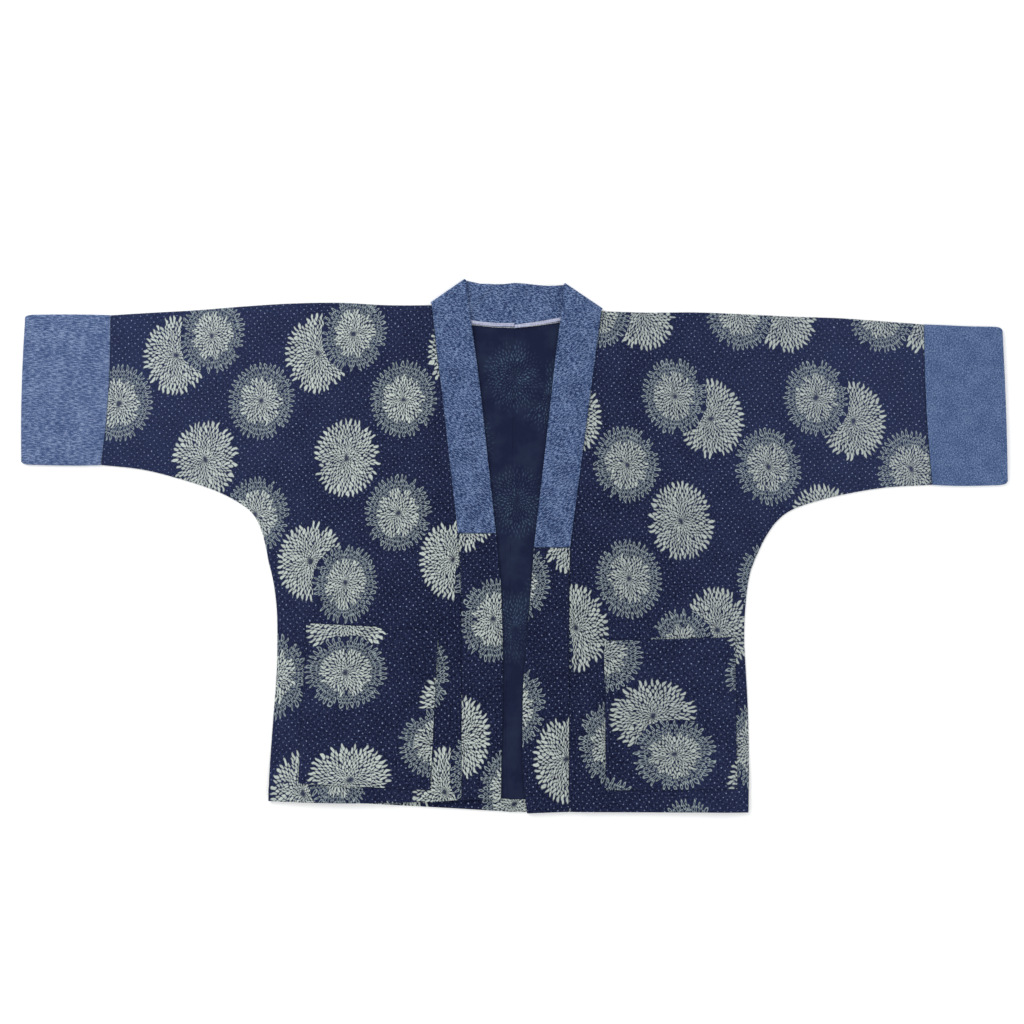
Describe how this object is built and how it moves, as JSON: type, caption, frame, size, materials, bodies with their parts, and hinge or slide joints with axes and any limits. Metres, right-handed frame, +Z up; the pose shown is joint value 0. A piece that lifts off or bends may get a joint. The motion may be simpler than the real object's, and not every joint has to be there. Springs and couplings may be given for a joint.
{
  "type": "happi coat",
  "caption": "Short open-fronted cotton coat with cut-on sleeves, folded collar, turned cuffs and patch pockets, lying flat and face up with its layers on one another.",
  "frame": {"origin": "centre of the bounding box in plan, on the surface that the coat lies on", "axes": "+X toward the wearer's left sleeve, +Y toward the collar, +Z up off the surface"},
  "size_m": [1.3424, 0.7274, 0.0105],
  "materials": {
    "indigo_print_cotton": "matt indigo cotton with a pale printed pattern",
    "blue_chambray": "matt mid-blue plain weave with paler slubs",
    "pale_cotton_tape": "matt pale grey-lavender selvedge"
  },
  "bodies": {
    "root": {"back_right": "indigo_print_cotton", "back_left": "indigo_print_cotton", "front_right": "indigo_print_cotton", "front_left": "indigo_print_cotton", "cuff_right": "blue_chambray", "cuff_left": "blue_chambray", "collar_right": "blue_chambray", "collar_left": "blue_chambray", "neck_tape_right": "pale_cotton_tape", "neck_tape_left": "pale_cotton_tape", "band_right": "indigo_print_cotton", "band_left": "indigo_print_cotton", "pocket_right": "indigo_print_cotton", "pocket_left": "indigo_print_cotton"}
  },
  "joints": []
}
